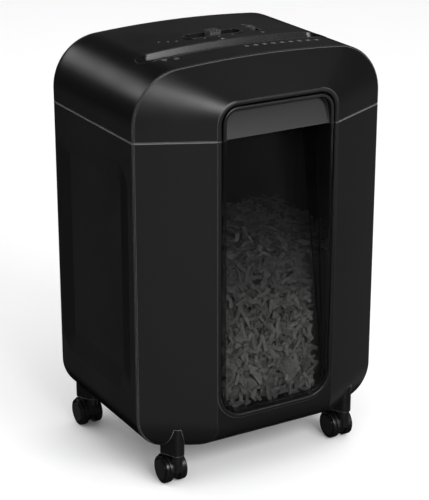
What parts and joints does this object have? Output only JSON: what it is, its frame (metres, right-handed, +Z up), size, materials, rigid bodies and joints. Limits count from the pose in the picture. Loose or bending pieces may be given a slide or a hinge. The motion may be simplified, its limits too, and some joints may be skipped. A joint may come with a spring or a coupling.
{
  "type": "paper shredder",
  "caption": "Floor-standing paper shredder: lift-off cutter head with a top slot and slide controls on a bin with a leaning smoked window, standing on twin-wheel casters.",
  "frame": {"origin": "centre of the footprint, on the floor under the wheels", "axes": "+Z up, the front with the window faces -Y, +X is to the right for someone looking from the front towards the rear"},
  "size_m": [0.319, 0.256, 0.4978],
  "materials": {
    "shell_black": "fine moulded texture, satin",
    "surround_black": "smooth satin",
    "throat_black": "smooth satin",
    "knob_grey": "satin",
    "smoked_window": "smoked transparent sheet",
    "paper": "loose paper shreds",
    "inner_black": "plain moulded",
    "zinc_steel": "zinc plated",
    "tool_steel": "oiled, ground",
    "sintered_bronze": "sintered",
    "nylon": "natural nylon",
    "board": "solder mask",
    "rubber_black": "matt",
    "caster_nylon": "satin nylon",
    "caster_steel": "blackened steel",
    "wheel_black": "satin nylon"
  },
  "bodies": {
    "bin": {"bin_shell": "shell_black", "front_panel": "shell_black", "window": "smoked_window", "window_surround": "surround_black", "bin_rim": "shell_black", "interlock_post": "inner_black", "caster_bosses": "shell_black", "shredded_paper": "paper"},
    "head": {"head_cover": "shell_black", "head_fascia": "shell_black", "lift_lip": "surround_black", "throat_guide": "throat_black", "control_bezel": "throat_black", "selector_switch": "inner_black", "head_tray": "inner_black", "end_plate_left": "zinc_steel", "end_plate_right": "zinc_steel", "tie_rods": "zinc_steel", "shaft_bushes": "sintered_bronze", "comb_front": "inner_black", "comb_rear": "inner_black", "reduction_pin": "tool_steel", "gearbox_cover": "inner_black", "motor_case": "zinc_steel", "motor_endcap": "inner_black", "interlock_switch": "inner_black", "circuit_board": "board", "cord_gland": "rubber_black", "cover_screws": "zinc_steel"},
    "paper_flag": {"paper_flag": "inner_black"},
    "control_slider": {"control_slider": "knob_grey"},
    "safety_lock": {"safety_lock": "knob_grey"},
    "cutter_front": {"cutter_shaft_front": "tool_steel", "sync_gear_front": "tool_steel"},
    "cutter_rear": {"cutter_shaft_rear": "tool_steel", "sync_gear_rear": "tool_steel", "drive_gear": "tool_steel"},
    "reduction_gear": {"reduction_gear": "nylon"},
    "motor_rotor": {"motor_rotor": "tool_steel"},
    "interlock_plunger": {"interlock_plunger": "nylon"},
    "caster_front_left": {"caster_hood_front_left": "caster_nylon", "caster_pins_front_left": "caster_steel"},
    "wheel_left_front_left": {"wheel_left_front_left": "wheel_black"},
    "wheel_right_front_left": {"wheel_right_front_left": "wheel_black"},
    "caster_front_right": {"caster_hood_front_right": "caster_nylon", "caster_pins_front_right": "caster_steel"},
    "wheel_left_front_right": {"wheel_left_front_right": "wheel_black"},
    "wheel_right_front_right": {"wheel_right_front_right": "wheel_black"},
    "caster_rear_left": {"caster_hood_rear_left": "caster_nylon", "caster_pins_rear_left": "caster_steel"},
    "wheel_left_rear_left": {"wheel_left_rear_left": "wheel_black"},
    "wheel_right_rear_left": {"wheel_right_rear_left": "wheel_black"},
    "caster_rear_right": {"caster_hood_rear_right": "caster_nylon", "caster_pins_rear_right": "caster_steel"},
    "wheel_left_rear_right": {"wheel_left_rear_right": "wheel_black"},
    "wheel_right_rear_right": {"wheel_right_rear_right": "wheel_black"}
  },
  "joints": [
    {"name": "head_lift", "type": "slide", "parent": "bin", "child": "head", "axis": [0, 0, 1], "range_m": [0, 0.15]},
    {"name": "control_slide", "type": "slide", "parent": "head", "child": "control_slider", "axis": [1, 0, 0], "range_m": [-0.01, 0.01]},
    {"name": "safety_lock_slide", "type": "slide", "parent": "head", "child": "safety_lock", "axis": [0, 1, 0], "range_m": [-0.012, 0]},
    {"name": "paper_flag_tilt", "type": "hinge", "parent": "head", "child": "paper_flag", "pos_m": [0, -0.012, 0.47], "axis": [1, 0, 0], "range_deg": [0, 30], "stiffness_Nm_per_rad": 0.002, "springref_deg": -17.19},
    {"name": "cutter_front_spin", "type": "hinge", "parent": "head", "child": "cutter_front", "pos_m": [0, -0.0426, 0.428], "axis": [1, 0, 0], "continuous": true},
    {"name": "cutter_rear_spin", "type": "hinge", "parent": "head", "child": "cutter_rear", "pos_m": [0, -0.0146, 0.428], "axis": [1, 0, 0], "continuous": true},
    {"name": "reduction_spin", "type": "hinge", "parent": "head", "child": "reduction_gear", "pos_m": [0, 0.01004, 0.44281], "axis": [1, 0, 0], "continuous": true},
    {"name": "motor_spin", "type": "hinge", "parent": "head", "child": "motor_rotor", "pos_m": [0, 0.03585, 0.446], "axis": [1, 0, 0], "continuous": true},
    {"name": "interlock_slide", "type": "slide", "parent": "head", "child": "interlock_plunger", "axis": [0, 0, 1], "range_m": [0, 0.004], "stiffness_N_per_m": 20, "springref_m": -0.006},
    {"name": "swivel_front_left", "type": "hinge", "parent": "bin", "child": "caster_front_left", "pos_m": [-0.115, -0.1, 0.04], "axis": [0, 0, 1], "continuous": true},
    {"name": "roll_left_front_left", "type": "hinge", "parent": "caster_front_left", "child": "wheel_left_front_left", "pos_m": [-0.115, -0.084, 0.0165], "axis": [1, 0, 0], "continuous": true},
    {"name": "roll_right_front_left", "type": "hinge", "parent": "caster_front_left", "child": "wheel_right_front_left", "pos_m": [-0.115, -0.084, 0.0165], "axis": [1, 0, 0], "continuous": true},
    {"name": "swivel_front_right", "type": "hinge", "parent": "bin", "child": "caster_front_right", "pos_m": [0.115, -0.1, 0.04], "axis": [0, 0, 1], "continuous": true},
    {"name": "roll_left_front_right", "type": "hinge", "parent": "caster_front_right", "child": "wheel_left_front_right", "pos_m": [0.115, -0.084, 0.0165], "axis": [1, 0, 0], "continuous": true},
    {"name": "roll_right_front_right", "type": "hinge", "parent": "caster_front_right", "child": "wheel_right_front_right", "pos_m": [0.115, -0.084, 0.0165], "axis": [1, 0, 0], "continuous": true},
    {"name": "swivel_rear_left", "type": "hinge", "parent": "bin", "child": "caster_rear_left", "pos_m": [-0.132, 0.084, 0.04], "axis": [0, 0, 1], "continuous": true},
    {"name": "roll_left_rear_left", "type": "hinge", "parent": "caster_rear_left", "child": "wheel_left_rear_left", "pos_m": [-0.132, 0.1, 0.0165], "axis": [1, 0, 0], "continuous": true},
    {"name": "roll_right_rear_left", "type": "hinge", "parent": "caster_rear_left", "child": "wheel_right_rear_left", "pos_m": [-0.132, 0.1, 0.0165], "axis": [1, 0, 0], "continuous": true},
    {"name": "swivel_rear_right", "type": "hinge", "parent": "bin", "child": "caster_rear_right", "pos_m": [0.132, 0.084, 0.04], "axis": [0, 0, 1], "continuous": true},
    {"name": "roll_left_rear_right", "type": "hinge", "parent": "caster_rear_right", "child": "wheel_left_rear_right", "pos_m": [0.132, 0.1, 0.0165], "axis": [1, 0, 0], "continuous": true},
    {"name": "roll_right_rear_right", "type": "hinge", "parent": "caster_rear_right", "child": "wheel_right_rear_right", "pos_m": [0.132, 0.1, 0.0165], "axis": [1, 0, 0], "continuous": true}
  ],
  "couplings": [
    {"joint": "cutter_rear_spin", "follows": "cutter_front_spin", "ratio": -1},
    {"joint": "reduction_spin", "follows": "cutter_front_spin", "ratio": 2.8333},
    {"joint": "motor_spin", "follows": "cutter_front_spin", "ratio": -9.4444}
  ]
}
